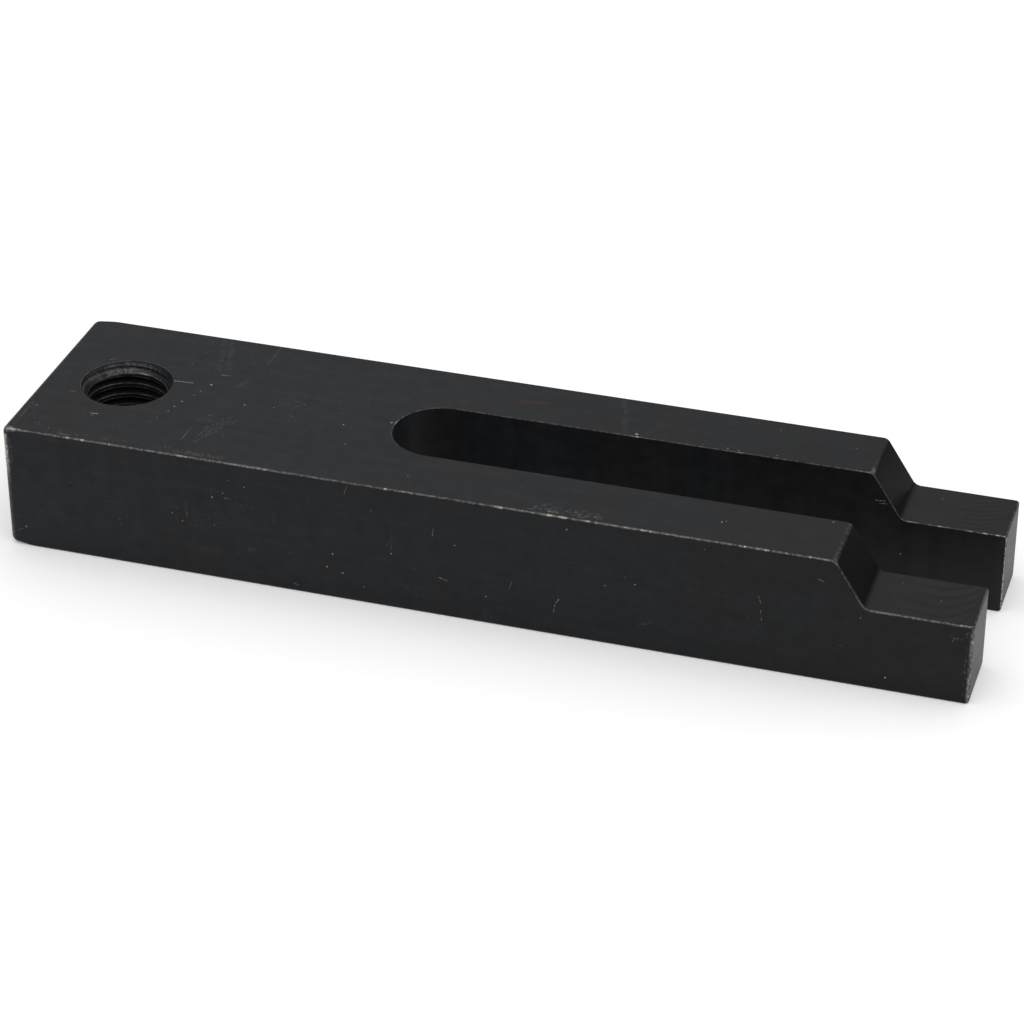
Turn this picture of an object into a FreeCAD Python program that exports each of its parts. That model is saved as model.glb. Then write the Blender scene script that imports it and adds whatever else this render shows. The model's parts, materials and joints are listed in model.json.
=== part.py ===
# U-shaped strap clamp: one steel bar with an open slot for a stud, a stepped nose and a tapped heel.
# Millimetres. +X runs from the heel to the nose, +Z is up, and the origin is at the centre of the
# underside.

import FreeCAD, Part
import math
import os
import Sketcher

NODE = "strap_clamp"

SIZES = {
    # the bar
    "length": 203.2,
    "width": 49.7,
    "thickness": 28.0,
    # the slot for the stud: it starts with a round end, this far from the heel, and is open at the nose
    "slot_start": 77.2,
    "slot_width": 19.84,
    # the hole in the heel, bored to the thread's inner diameter and countersunk on both faces
    "hole_offset": 17.8,
    "bore_radius": 8.334,
    "countersink_radius": 9.72,
    "countersink_depth": 2.3,
    # the nose: a low flat step, and a steep slope up to the full thickness
    "nose_length": 21.5,
    "nose_thickness": 18.0,
    "slope_run": 6.4,
    # rounded edges
    "root_radius": 2.0,
    "crest_radius": 1.7,
    "heel_radius": 1.6,
    "nose_radius": 0.8,
    "outer_edge_radius": 0.5,
    "slot_edge_radius": 0.3,
}

# where a constraint holds a line or an arc, and the sketch's origin
START = 1
END = 2
CENTRE = 3
ORIGIN = (-1, START)
ACROSS_AXIS = -1

NEAR = 1e-4
LEAST_CUT = 1.0


def make_sheet(doc):
    """The driving dimensions, one aliased cell each."""
    sheet = doc.addObject("Spreadsheet::Sheet", "Sizes")
    for row, (alias, value) in enumerate(SIZES.items(), start=1):
        sheet.set(f"A{row}", alias)
        sheet.set(f"B{row}", str(value))
        sheet.setAlias(f"B{row}", alias)
    doc.recompute()
    return sheet


def sketch_on(body, role, name):
    """A sketch on one of the body's own origin planes."""
    plane = next(item for item in body.Origin.OriginFeatures if item.Role == role)
    sketch = body.newObject("Sketcher::SketchObject", name)
    sketch.AttachmentSupport = [(plane, "")]
    sketch.MapMode = "FlatFace"
    return sketch


def add_polygon(sketch, points):
    """A closed run of lines, each joined to the next. Gives the lines' numbers."""
    corners = [FreeCAD.Vector(across, up, 0) for across, up in points]
    lines = [
        sketch.addGeometry(Part.LineSegment(start, end), False)
        for start, end in zip(corners, corners[1:] + corners[:1])
    ]
    for line, following in zip(lines, lines[1:] + lines[:1]):
        hold(sketch, "Coincident", line, END, following, START)
    return lines


def hold(sketch, kind, *where):
    """A constraint with no size of its own."""
    sketch.addConstraint(Sketcher.Constraint(kind, *where))


def bind(sketch, name, kind, where, expression):
    """A named dimension that follows the sheet."""
    value = float(sketch.evalExpression(expression))
    index = sketch.addConstraint(Sketcher.Constraint(kind, *where, value))
    sketch.renameConstraint(index, name)
    sketch.setExpression(f"Constraints.{name}", expression)


def add_bar(body, sheet):
    """The side profile, padded to both sides of the middle plane."""
    half = sheet.length / 2
    root = half - sheet.nose_length
    crest = root - sheet.slope_run
    sketch = sketch_on(body, "XZ_Plane", "side_profile")
    base, tip, step, slope, top, heel = add_polygon(
        sketch,
        [
            (-half, 0),
            (half, 0),
            (half, sheet.nose_thickness),
            (root, sheet.nose_thickness),
            (crest, sheet.thickness),
            (-half, sheet.thickness),
        ],
    )
    for line in (base, step, top):
        hold(sketch, "Horizontal", line)
    for line in (tip, heel):
        hold(sketch, "Vertical", line)
    hold(sketch, "Symmetric", base, START, base, END, *ORIGIN)
    bind(sketch, "bar_length", "DistanceX", (base, START, base, END), "Sizes.length")
    bind(sketch, "bar_height", "DistanceY", (heel, END, heel, START), "Sizes.thickness")
    bind(sketch, "tip_height", "DistanceY", (tip, START, tip, END), "Sizes.nose_thickness")
    bind(sketch, "step_length", "DistanceX", (step, END, step, START), "Sizes.nose_length")
    bind(sketch, "slope_length", "DistanceX", (slope, END, slope, START), "Sizes.slope_run")

    bar = body.newObject("PartDesign::Pad", "bar")
    bar.Profile = sketch
    bar.SideType = "Symmetric"
    bar.setExpression("Length", "Sizes.width")
    return bar


def add_slot(body, sheet):
    """The slot: a round end, and two walls that run out past the nose by half the slot's width."""
    radius = sheet.slot_width / 2
    centre = sheet.slot_start + radius - sheet.length / 2
    mouth = sheet.length / 2 + radius
    sketch = sketch_on(body, "XY_Plane", "slot_plan")
    circle = Part.Circle(FreeCAD.Vector(centre, 0, 0), FreeCAD.Vector(0, 0, 1), radius)
    round_end = sketch.addGeometry(Part.ArcOfCircle(circle, math.pi / 2, 3 * math.pi / 2), False)
    corners = [
        FreeCAD.Vector(centre, -radius, 0),
        FreeCAD.Vector(mouth, -radius, 0),
        FreeCAD.Vector(mouth, radius, 0),
        FreeCAD.Vector(centre, radius, 0),
    ]
    near_wall, opening, far_wall = [
        sketch.addGeometry(Part.LineSegment(start, end), False)
        for start, end in zip(corners, corners[1:])
    ]
    hold(sketch, "Tangent", round_end, END, near_wall, START)
    hold(sketch, "Coincident", near_wall, END, opening, START)
    hold(sketch, "Coincident", opening, END, far_wall, START)
    hold(sketch, "Tangent", far_wall, END, round_end, START)
    hold(sketch, "Horizontal", near_wall)
    hold(sketch, "Horizontal", far_wall)
    hold(sketch, "Vertical", opening)
    hold(sketch, "PointOnObject", round_end, CENTRE, ACROSS_AXIS)
    bind(sketch, "wall_spacing", "DistanceY", (opening, START, opening, END), "Sizes.slot_width")
    bind(sketch, "end_centre", "DistanceX", (*ORIGIN, round_end, CENTRE),
         "Sizes.slot_start + Sizes.slot_width / 2 - Sizes.length / 2")
    bind(sketch, "open_end", "DistanceX", (*ORIGIN, opening, START),
         "Sizes.length / 2 + Sizes.slot_width / 2")

    slot = body.newObject("PartDesign::Pocket", "stud_slot")
    slot.Profile = sketch
    slot.Type = "ThroughAll"
    slot.Reversed = True
    return slot


def add_heel_hole(body, sheet):
    """The heel's hole, turned from its half section, with a countersink at each end."""
    top = sheet.thickness
    sink = sheet.countersink_depth
    sketch = sketch_on(body, "XZ_Plane", "hole_section")
    sketch.setExpression("AttachmentOffset.Base.x", "Sizes.hole_offset - Sizes.length / 2")
    lower_rim, lower_cone, wall, upper_cone, upper_rim, axis = add_polygon(
        sketch,
        [
            (0, 0),
            (sheet.countersink_radius, 0),
            (sheet.bore_radius, sink),
            (sheet.bore_radius, top - sink),
            (sheet.countersink_radius, top),
            (0, top),
        ],
    )
    hold(sketch, "Coincident", lower_rim, START, *ORIGIN)
    for line in (lower_rim, upper_rim):
        hold(sketch, "Horizontal", line)
    for line in (wall, axis):
        hold(sketch, "Vertical", line)
    hold(sketch, "Equal", lower_rim, upper_rim)
    hold(sketch, "Equal", lower_cone, upper_cone)
    bind(sketch, "rim_radius", "DistanceX", (*ORIGIN, lower_rim, END), "Sizes.countersink_radius")
    bind(sketch, "wall_radius", "DistanceX", (*ORIGIN, wall, START), "Sizes.bore_radius")
    bind(sketch, "sink_depth", "DistanceY", (*ORIGIN, wall, START), "Sizes.countersink_depth")
    bind(sketch, "hole_depth", "DistanceY", (axis, END, axis, START), "Sizes.thickness")

    hole = body.newObject("PartDesign::Groove", "heel_hole")
    hole.Profile = sketch
    hole.ReferenceAxis = (sketch, ["V_Axis"])
    hole.Angle = 360
    return hole


def add_rounding(body, name, base, alias, test):
    """A rounding of those of the base's edges whose bounding box passes the test."""
    edges = [
        f"Edge{number}"
        for number, edge in enumerate(base.Shape.Edges, start=1)
        if test(edge.BoundBox)
    ]
    rounding = body.newObject("PartDesign::Fillet", name)
    rounding.Base = (base, edges)
    rounding.setExpression("Radius", f"Sizes.{alias}")
    body.Document.recompute()
    return rounding


def stays_at(low, high, value):
    """True where a stretch of one axis is a single value."""
    return abs(low - value) < NEAR and abs(high - value) < NEAR


def add_roundings(body, sheet, hole):
    """The rounded edges, from the corners between large faces to the long thin edges."""
    half = sheet.length / 2
    side = sheet.width / 2
    wall = sheet.slot_width / 2
    top = sheet.thickness
    step = sheet.nose_thickness
    root = half - sheet.nose_length
    crest = root - sheet.slope_run
    hole_end = sheet.hole_offset + sheet.countersink_radius - half

    def on_side(box):
        return stays_at(box.YMin, box.YMax, side) or stays_at(box.YMin, box.YMax, -side)

    def is_root(box):
        return stays_at(box.XMin, box.XMax, root) and stays_at(box.ZMin, box.ZMax, step)

    def is_crest(box):
        return stays_at(box.XMin, box.XMax, crest) and stays_at(box.ZMin, box.ZMax, top)

    def is_heel_edge(box):
        return stays_at(box.XMin, box.XMax, -half)

    def is_nose_edge(box):
        low = stays_at(box.ZMin, box.ZMax, 0)
        return stays_at(box.XMin, box.XMax, half) and (low or on_side(box))

    def is_outer_edge(box):
        tip_top = stays_at(box.XMin, box.XMax, half) and stays_at(box.ZMin, box.ZMax, step)
        return tip_top or (on_side(box) and box.XLength > NEAR)

    def is_slot_edge(box):
        in_slot = max(abs(box.YMin), abs(box.YMax)) < wall + NEAR and box.XMin > hole_end
        level = stays_at(box.ZMin, box.ZMax, 0) or stays_at(box.ZMin, box.ZMax, top)
        return in_slot and (level or box.XMax > crest - NEAR)

    feature = add_rounding(body, "root_rounding", hole, "root_radius", is_root)
    feature = add_rounding(body, "crest_rounding", feature, "crest_radius", is_crest)
    feature = add_rounding(body, "heel_rounding", feature, "heel_radius", is_heel_edge)
    feature = add_rounding(body, "nose_rounding", feature, "nose_radius", is_nose_edge)
    feature = add_rounding(body, "outer_edge_rounding", feature, "outer_edge_radius", is_outer_edge)
    add_rounding(body, "slot_edge_rounding", feature, "slot_edge_radius", is_slot_edge)


def check_cut(doc, before, cut):
    """Stop if a cut took nothing away."""
    doc.recompute()
    if cut.Shape.Volume > before.Shape.Volume - LEAST_CUT:
        raise RuntimeError(f"{cut.Name} cut nothing away")


def check_document(doc, body):
    """Stop if anything failed, or if the bar isn't one sound solid."""
    for item in doc.Objects:
        if "Invalid" in item.State or "Error" in item.State:
            raise RuntimeError(f"{item.Name} is {item.State}")
    shape = body.Shape
    if shape.isNull() or not shape.isValid() or len(shape.Solids) != 1:
        raise RuntimeError(f"{body.Label} is not one sound solid")


def main():
    doc = FreeCAD.newDocument("strap_clamp")
    sheet = make_sheet(doc)
    body = doc.addObject("PartDesign::Body", "clamp_body")
    body.Label = NODE
    body.Placement = FreeCAD.Placement()

    bar = add_bar(body, sheet)
    doc.recompute()
    slot = add_slot(body, sheet)
    check_cut(doc, bar, slot)
    hole = add_heel_hole(body, sheet)
    check_cut(doc, slot, hole)
    add_roundings(body, sheet, hole)

    doc.recompute()
    check_document(doc, body)
    os.makedirs("parts", exist_ok=True)
    body.Shape.exportStep(f"parts/{NODE}.step")
    print(f"{NODE}: {body.Shape.Volume:.1f} mm3, {len(body.Shape.Faces)} faces")


main()
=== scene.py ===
"""The looks of the u-shaped strap clamp: black oxide steel with worn edges, marks and a real thread.
The wear along the edges and the thread also paints their highlights and glints, and the slopes and
the hole get painted shade.

Metres. +X runs from the heel to the nose, +Z is up, and the near side is the one at -Y.
"""

import json
import math

import bpy
import numpy as np
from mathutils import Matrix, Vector
from mathutils.geometry import delaunay_2d_cdt
from mathutils.kdtree import KDTree


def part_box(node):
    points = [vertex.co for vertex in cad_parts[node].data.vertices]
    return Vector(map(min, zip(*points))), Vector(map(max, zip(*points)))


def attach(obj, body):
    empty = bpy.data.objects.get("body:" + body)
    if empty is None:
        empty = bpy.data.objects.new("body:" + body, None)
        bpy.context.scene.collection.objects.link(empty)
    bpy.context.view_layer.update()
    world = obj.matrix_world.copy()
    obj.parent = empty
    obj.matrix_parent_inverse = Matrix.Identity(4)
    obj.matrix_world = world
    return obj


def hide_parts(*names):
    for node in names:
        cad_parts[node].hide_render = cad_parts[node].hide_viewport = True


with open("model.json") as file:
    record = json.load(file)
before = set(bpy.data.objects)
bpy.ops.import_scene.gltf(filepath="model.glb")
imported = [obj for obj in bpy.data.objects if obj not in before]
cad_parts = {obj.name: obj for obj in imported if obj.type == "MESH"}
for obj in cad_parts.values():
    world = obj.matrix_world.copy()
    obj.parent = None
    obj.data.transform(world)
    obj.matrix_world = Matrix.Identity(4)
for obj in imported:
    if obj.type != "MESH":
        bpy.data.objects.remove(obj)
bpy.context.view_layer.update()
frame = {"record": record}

NODE = "strap_clamp"
FINISH = "black_oxide_steel"
MM = 0.001
QUARTER = math.pi / 2
NEAR_SIDE = -1
FAR_SIDE = 1

# the bar's overall form and the heel's hole, from the frame
LOW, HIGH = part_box(NODE)
HEEL_X = LOW.x
NOSE_X = HIGH.x
SIDE_Y = HIGH.y
TOP_Z = HIGH.z
HOLE = next(mount for mount in frame["record"]["mounts"] if mount["name"] == "tapped_heel")
HOLE_X = HOLE["pos_m"][0]
BORE_RADIUS = HOLE["dims"]["r_mm"] * MM
COUNTERSINK_DEPTH = (TOP_Z - HOLE["dims"]["length_mm"] * MM) / 2

# the form's other sizes
SLOT_START = 77.2 * MM
SLOT_RADIUS = 9.92 * MM
COUNTERSINK_RADIUS = 9.72 * MM
NOSE_LENGTH = 21.5 * MM
NOSE_THICKNESS = 18.0 * MM
SLOPE_RUN = 6.4 * MM
ROOT_RADIUS = 2.0 * MM
CREST_RADIUS = 1.7 * MM
HEEL_RADIUS = 1.6 * MM
NOSE_RADIUS = 0.8 * MM
OUTER_EDGE_RADIUS = 0.5 * MM
SLOT_EDGE_RADIUS = 0.3 * MM

# the upright corners, a little rounder than the edges that meet there
HEEL_CORNER = HEEL_RADIUS + 0.05 * MM
NOSE_CORNER = NOSE_RADIUS + 0.05 * MM

# how far along each side the heel's rounding goes on
HEEL_FADE = 4.0 * MM

# the thread, 3/4-10
PITCH = 2.54 * MM
MAJOR_RADIUS = 9.525 * MM
ROOT_FLAT = PITCH / 8
FLANK = (MAJOR_RADIUS - BORE_RADIUS) * math.tan(math.radians(30))
LAND = PITCH - ROOT_FLAT - 2 * FLANK
THREAD_SHIFT = -1.2 * MM

# the rims of the countersinks
RIM_BAND = 0.30 * MM
RIM_ROUNDING = 0.12 * MM

# how finely the surface is divided
ARC_STEPS = 6
BEND_STEPS = 8
CORNER_STEPS = 10
SPAN_STEPS = 12
RIM_STEPS = 3
EDGE_SPACING = 0.45 * MM
GRID_SPACING = 3.0 * MM
HOLE_COLUMNS = 120
LAND_ROWS = 4
FLANK_ROWS = 4
ROOT_ROWS = 2
WELD_GAP = 2e-6
FLAT_GAP = 1e-7
OUTLINE_GAP = 0.04 * MM

# how deep a pit is as a share of its radius, and a scratch as a share of its width
PIT_DEPTH = 0.25
SCRATCH_DEPTH = 0.15

# a pit's outline and its two rings, as shares of its radius; drawn shares have a start and a reach
PIT_SIDES = 7
PIT_RAGGED = (0.75, 0.5)
PIT_OUTER = 1.15
PIT_INNER = 0.6
DOT_SHARE = 0.75

# how far a scratch wanders, its half width and its strength, as shares of its width and strength
SCRATCH_WANDER = 0.4
SCRATCH_HALF = (0.35, 0.3)
SCRATCH_STRENGTH = (0.45, 0.55)

# a scuff's specks: how they are strewn across it, their sizes in millimetres, strengths and shape
SCUFF_SPREAD = 0.3
SPECK_SIZE = (0.10, 0.14)
SPECK_STRENGTH = (0.3, 0.7)
SPECK_SIDES = 4
STROKE_REACH = 3.5
STROKE_WIDTH = 0.8

# a soft band's rows, across it as shares of its width, with each row's strength
BAND_OFFSETS = (-1.0, -0.45, 0.0, 0.45, 1.0)
BAND_SHARES = (0.0, 0.7, 1.0, 0.7, 0.0)
BAND_OVERSHOOT = 0.2
BAND_STATIONS = 8

# how narrow the worn line along an edge is, which is also a painted highlight line
RIDGE_POWER = 2

# the upper outline, seen from the side: flat, crest, slope, root and step
TILT = math.atan2(TOP_Z - NOSE_THICKNESS, SLOPE_RUN)
ROOT_X = NOSE_X - NOSE_LENGTH
CREST_X = ROOT_X - SLOPE_RUN
HALF_TILT = math.tan(TILT / 2)
U_CREST = CREST_X - CREST_RADIUS * HALF_TILT
U_SLOPE = U_CREST + CREST_RADIUS * TILT
SLOPE_LENGTH = math.hypot(SLOPE_RUN, TOP_Z - NOSE_THICKNESS) - (CREST_RADIUS + ROOT_RADIUS) * HALF_TILT
U_ROOT = U_SLOPE + SLOPE_LENGTH
U_STEP = U_ROOT + ROOT_RADIUS * TILT
U_NOSE = U_STEP + NOSE_LENGTH - ROOT_RADIUS * HALF_TILT

# the outer wall, seen from above, measured from the middle of the heel round to the slot's mouth
S_HEEL = SIDE_Y - HEEL_CORNER
S_SIDE = S_HEEL + HEEL_CORNER * QUARTER
SIDE_LENGTH = NOSE_X - HEEL_X - HEEL_CORNER - NOSE_CORNER
S_CORNER = S_SIDE + SIDE_LENGTH
S_NOSE = S_CORNER + NOSE_CORNER * QUARTER
S_MOUTH = S_NOSE + SIDE_Y - NOSE_CORNER - SLOT_RADIUS - SLOT_EDGE_RADIUS

# the slot's wall, seen from above, measured from the middle of its round end
SLOT_X = HEEL_X + SLOT_START + SLOT_RADIUS
S_STRAIGHT = SLOT_RADIUS * QUARTER


def upper_line(u):
    """The upper outline this far along it: x, z and the tilt of its normal. Up to the crest, u is x."""
    crest = np.clip((u - U_CREST) / CREST_RADIUS, 0, TILT)
    slope = np.clip(u - U_SLOPE, 0, SLOPE_LENGTH)
    root = np.clip((u - U_ROOT) / ROOT_RADIUS, 0, TILT)
    x = np.minimum(u, U_CREST) + CREST_RADIUS * np.sin(crest) + slope * math.cos(TILT)
    x = x + ROOT_RADIUS * (math.sin(TILT) - np.sin(TILT - root)) + np.maximum(u - U_STEP, 0)
    z = TOP_Z - CREST_RADIUS * (1 - np.cos(crest)) - slope * math.sin(TILT)
    z = z - ROOT_RADIUS * (np.cos(TILT - root) - math.cos(TILT))
    return x, z, crest - root


def outer_wall(s):
    """The outer wall this far from the heel's middle, minus on the near side: plan points and normals."""
    side = np.where(s < 0, NEAR_SIDE, FAR_SIDE)
    d = np.abs(s)
    heel_turn = np.clip((d - S_HEEL) / HEEL_CORNER, 0, QUARTER)
    nose_turn = np.clip((d - S_CORNER) / NOSE_CORNER, 0, QUARTER)
    x = HEEL_X + HEEL_CORNER * (1 - np.cos(heel_turn)) + np.clip(d - S_SIDE, 0, SIDE_LENGTH)
    x = x + NOSE_CORNER * np.sin(nose_turn)
    y = np.minimum(d, S_HEEL) + HEEL_CORNER * np.sin(heel_turn)
    y = y - NOSE_CORNER * (1 - np.cos(nose_turn)) - np.maximum(d - S_NOSE, 0)
    facing = math.pi - heel_turn - nose_turn
    return np.stack([x, side * y], 1), np.stack([np.cos(facing), side * np.sin(facing)], 1)


def slot_wall(s):
    """The slot's wall this far from its round end's middle, minus on the near side: points and normals."""
    side = np.where(s < 0, NEAR_SIDE, FAR_SIDE)
    turn = np.minimum(np.abs(s) / SLOT_RADIUS, QUARTER)
    x = SLOT_X - SLOT_RADIUS * np.cos(turn) + np.maximum(np.abs(s) - S_STRAIGHT, 0)
    points = np.stack([x, side * SLOT_RADIUS * np.sin(turn)], 1)
    return points, np.stack([np.cos(turn), -side * np.sin(turn)], 1)


def spread(start, end, spacing):
    """Even stations from start towards end, without the end."""
    count = max(1, round(abs(end - start) / spacing))
    return np.linspace(start, end, count, endpoint=False)


def upright(plan, z):
    """Plan points or normals with a height each."""
    return np.column_stack([plan, np.broadcast_to(z, len(plan))])


def leaning(tilt):
    """Normals of the upper outline."""
    return np.stack([np.sin(tilt), np.zeros_like(tilt), np.cos(tilt)], 1)


class Shell:
    """Patches of the surface, gathered and then welded into one mesh."""

    def __init__(self):
        self.points = []
        self.faces = []
        self.corner_normals = []
        # each point's values: wear that also paints highlights and glints, marks, milling, painted shade and
        # stains
        self.values = {"wear": [], "mark": [], "milled": [], "dark": [], "stain": []}
        self.count = 0

    def add(self, points, faces, corner_normals, **values):
        """One patch: its points, its triangles and a normal for each triangle's corners."""
        turned = (area_normals(points[faces]) * corner_normals.sum(axis=1)).sum(axis=1) < 0
        faces = np.where(turned[:, None], faces[:, ::-1], faces)
        corner_normals = np.where(turned[:, None, None], corner_normals[:, ::-1], corner_normals)
        self.points.append(points)
        self.faces.append(faces + self.count)
        self.corner_normals.append(corner_normals)
        for name, gathered in self.values.items():
            gathered.append(np.broadcast_to(values.get(name, 0.0), len(points))[faces])
        self.count += len(points)

    def build(self, name):
        """The welded mesh as an object."""
        points = np.concatenate(self.points)
        keeper = weld(points)
        faces = keeper[np.concatenate(self.faces)]
        normals = np.concatenate(self.corner_normals)
        whole = (faces != np.roll(faces, 1, axis=1)).all(axis=1)
        faces = faces[whole]
        normals = normals[whole]
        used, numbers = np.unique(faces, return_inverse=True)
        mesh = bpy.data.meshes.new(name)
        mesh.from_pydata(points[used].tolist(), [], numbers.reshape(-1, 3).tolist())
        for label, gathered in self.values.items():
            attribute = mesh.attributes.new(label, "FLOAT", "CORNER")
            attribute.data.foreach_set("value", np.concatenate(gathered)[whole].reshape(-1))
        mesh.polygons.foreach_set("use_smooth", [True] * len(faces))
        mesh.normals_split_custom_set(normals.reshape(-1, 3).tolist())
        mesh.update()
        piece = bpy.data.objects.new(name, mesh)
        bpy.context.scene.collection.objects.link(piece)
        return piece


def search_tree(points):
    """A tree that finds the nearest of the points."""
    tree = KDTree(len(points))
    for index, point in enumerate(points):
        tree.insert(point, index)
    tree.balance()
    return tree


def area_normals(corners):
    """The normals of triangles, each as long as twice its area."""
    return np.cross(corners[:, 1] - corners[:, 0], corners[:, 2] - corners[:, 0])


def weld(points):
    """For each point, the first of those that lie where it does."""
    tree = search_tree(points)
    keeper = np.arange(len(points))
    for index, point in enumerate(points):
        if keeper[index] == index:
            for _, other, _ in tree.find_range(point, WELD_GAP):
                keeper[other] = min(keeper[other], index)
    return keeper


def inside(loops, points):
    """Which flat points are inside the loops, by the even and odd rule."""
    result = np.zeros(len(points), bool)
    for loop in loops:
        for (ax, ay), (bx, by) in zip(loop, np.roll(loop, -1, axis=0)):
            if ay == by:
                continue
            spans = (ay > points[:, 1]) != (by > points[:, 1])
            crossing = ax + (points[:, 1] - ay) * (bx - ax) / (by - ay)
            result ^= spans & (points[:, 0] < crossing)
    return result


def fill(loops, loose):
    """Triangles between closed flat loops, through the loose points inside them."""
    flat = np.concatenate([*loops, loose])
    edges = []
    start = 0
    for loop in loops:
        ring = np.arange(len(loop))
        edges += (start + np.stack([ring, np.roll(ring, -1)], 1)).tolist()
        start += len(loop)
    corners = [Vector(point) for point in flat]
    _, _, faces, sources, _, _ = delaunay_2d_cdt(corners, edges, [], 0, FLAT_GAP, True)
    index = np.array([source[0] for source in sources])
    faces = index[np.array(faces)]
    return faces[inside(loops, flat[faces].mean(axis=1))]


def grid(loops, taken):
    """Even loose points inside the loops, clear of their outlines and of the taken points."""
    outline = loops[0]
    low = outline.min(axis=0)
    high = outline.max(axis=0)
    count = np.maximum(1, np.round((high - low) / GRID_SPACING)).astype(int)
    across = np.linspace(low[0], high[0], count[0] + 1)[1:-1]
    along = np.linspace(low[1], high[1], count[1] + 1)[1:-1]
    points = np.stack(np.meshgrid(across, along), -1).reshape(-1, 2)
    points = points[inside(loops, points)]
    tree = search_tree([(*point, 0) for point in np.concatenate([*loops, taken])])
    clear = [tree.find((*point, 0))[2] > GRID_SPACING / 3 for point in points]
    return points[np.array(clear, bool)]


def within(loops, marks):
    """Those of the marks' points that are inside the loops and clear of their outlines."""
    points = marks[0]
    keep = np.ones(len(points), bool)
    for shift in ((OUTLINE_GAP, 0), (-OUTLINE_GAP, 0), (0, OUTLINE_GAP), (0, -OUTLINE_GAP)):
        keep &= inside(loops, points + shift)
    return [column[keep] for column in marks]


def strip_faces(rows, columns):
    """Triangles of a grid of points that is numbered row by row."""
    corner = (np.arange(rows - 1)[:, None] * columns + np.arange(columns - 1)).reshape(-1)
    first = np.stack([corner, corner + 1, corner + columns + 1], 1)
    second = np.stack([corner, corner + columns + 1, corner + columns], 1)
    return np.concatenate([first, second])


def roll_ball(edge, wall, cap, radius):
    """The rounding of an edge between a wall and a cap: points and normals, from the wall to the cap."""
    angle = np.linspace(0, QUARTER, ARC_STEPS + 1)[None, :, None]
    normal = wall[:, None] * np.cos(angle) + cap[:, None] * np.sin(angle)
    radius = radius[:, None, None]
    return edge[:, None] - radius * (wall + cap)[:, None] + radius * normal, normal


def add_rounding(shell, edge, wall, cap, radius, wear):
    """Adds an edge's rounding to the shell, worn along its middle, where the wear also paints a highlight
    line. Gives its two outer rings.
    """
    points, normals = roll_ball(edge, wall, cap, radius)
    faces = strip_faces(len(edge), ARC_STEPS + 1)
    ridge = np.sin(np.linspace(0, math.pi, ARC_STEPS + 1)) ** RIDGE_POWER
    flat_normals = normals.reshape(-1, 3)
    shell.add(points.reshape(-1, 3), faces, flat_normals[faces], wear=(wear[:, None] * ridge).reshape(-1))
    return points[:, 0], points[:, -1]


def blend(value, start, end):
    """A smooth step from 0 to 1 as the value goes from start to end."""
    t = np.clip((value - start) / (end - start), 0, 1)
    return t * t * (3 - 2 * t)


def add_span(shell, first, last, normals, wear=0.0, dark=0.0, pale=0.0):
    """Adds the ruled surface between two rings of as many stations. Gives its points, by station."""
    t = np.linspace(0, 1, SPAN_STEPS + 1)[None, :, None]
    points = first[:, None] * (1 - t) + last[:, None] * t
    rows, columns = points.shape[:2]
    faces = strip_faces(rows, columns)
    all_normals = np.repeat(normals, columns, axis=0)
    wear = np.broadcast_to(wear, (rows, columns)).reshape(-1)
    dark = np.broadcast_to(dark, (rows, columns)).reshape(-1)
    shell.add(points.reshape(-1, 3), faces, all_normals[faces], wear=wear, dark=dark, mark=pale)
    return points


def add_plane(shell, loops, normal, marks=(), milled=0.0, pale=0.0):
    """Adds a flat face inside its first loop and outside the others, with its marks pressed in."""
    normal = np.array(normal, float)
    level = np.argmax(np.abs(normal))
    axes = np.delete(np.arange(3), level)
    flat_loops = [loop[:, axes] for loop in loops]
    spots, strength, depth, stain = within(flat_loops, gather(marks))
    loose = np.concatenate([grid(flat_loops, spots), spots])
    plain = np.zeros(sum(len(loop) for loop in loops) + len(loose) - len(spots))
    marked, sunk, stained = [np.concatenate([plain, values]) for values in (strength, depth, stain)]
    places = np.empty((len(loose), 3))
    places[:, axes] = loose
    places[:, level] = loops[0][0, level]
    points = np.concatenate([*loops, places]) - sunk[:, None] * normal
    faces = fill(flat_loops, loose)
    facing = area_normals(points[faces])
    facing /= np.linalg.norm(facing, axis=1)[:, None] + FLAT_GAP ** 2
    facing *= np.sign(facing @ normal)[:, None]
    pressed = (sunk[faces] > 0).any(axis=1)
    corner_normals = np.broadcast_to(normal, (len(faces), 3, 3)).copy()
    corner_normals[pressed] = facing[pressed][:, None]
    shell.add(points, faces, corner_normals, mark=np.maximum(marked, pale), milled=milled, stain=stained)


def drawn(span, *shape):
    """Random numbers from a span's start on, up to its reach beyond that."""
    start, reach = span
    return start + reach * random.random(*shape)


def pit(a, b, radius, strength):
    """A small ragged dent at a place on a face, in millimetres: points, strengths, depths and stains."""
    turn = np.arange(PIT_SIDES) * 2 * math.pi / PIT_SIDES
    ragged = drawn(PIT_RAGGED, PIT_SIDES)
    ring = np.stack([np.cos(turn), np.sin(turn)], 1) * (ragged * radius)[:, None]
    points = np.concatenate([ring * PIT_OUTER, ring * PIT_INNER, [[0.0, 0.0]]]) + [a, b]
    inner = np.array([0.0] * PIT_SIDES + [1.0] * PIT_SIDES + [1.0])
    return points * MM, inner * strength, inner * radius * PIT_DEPTH * MM, inner * 0


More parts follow.
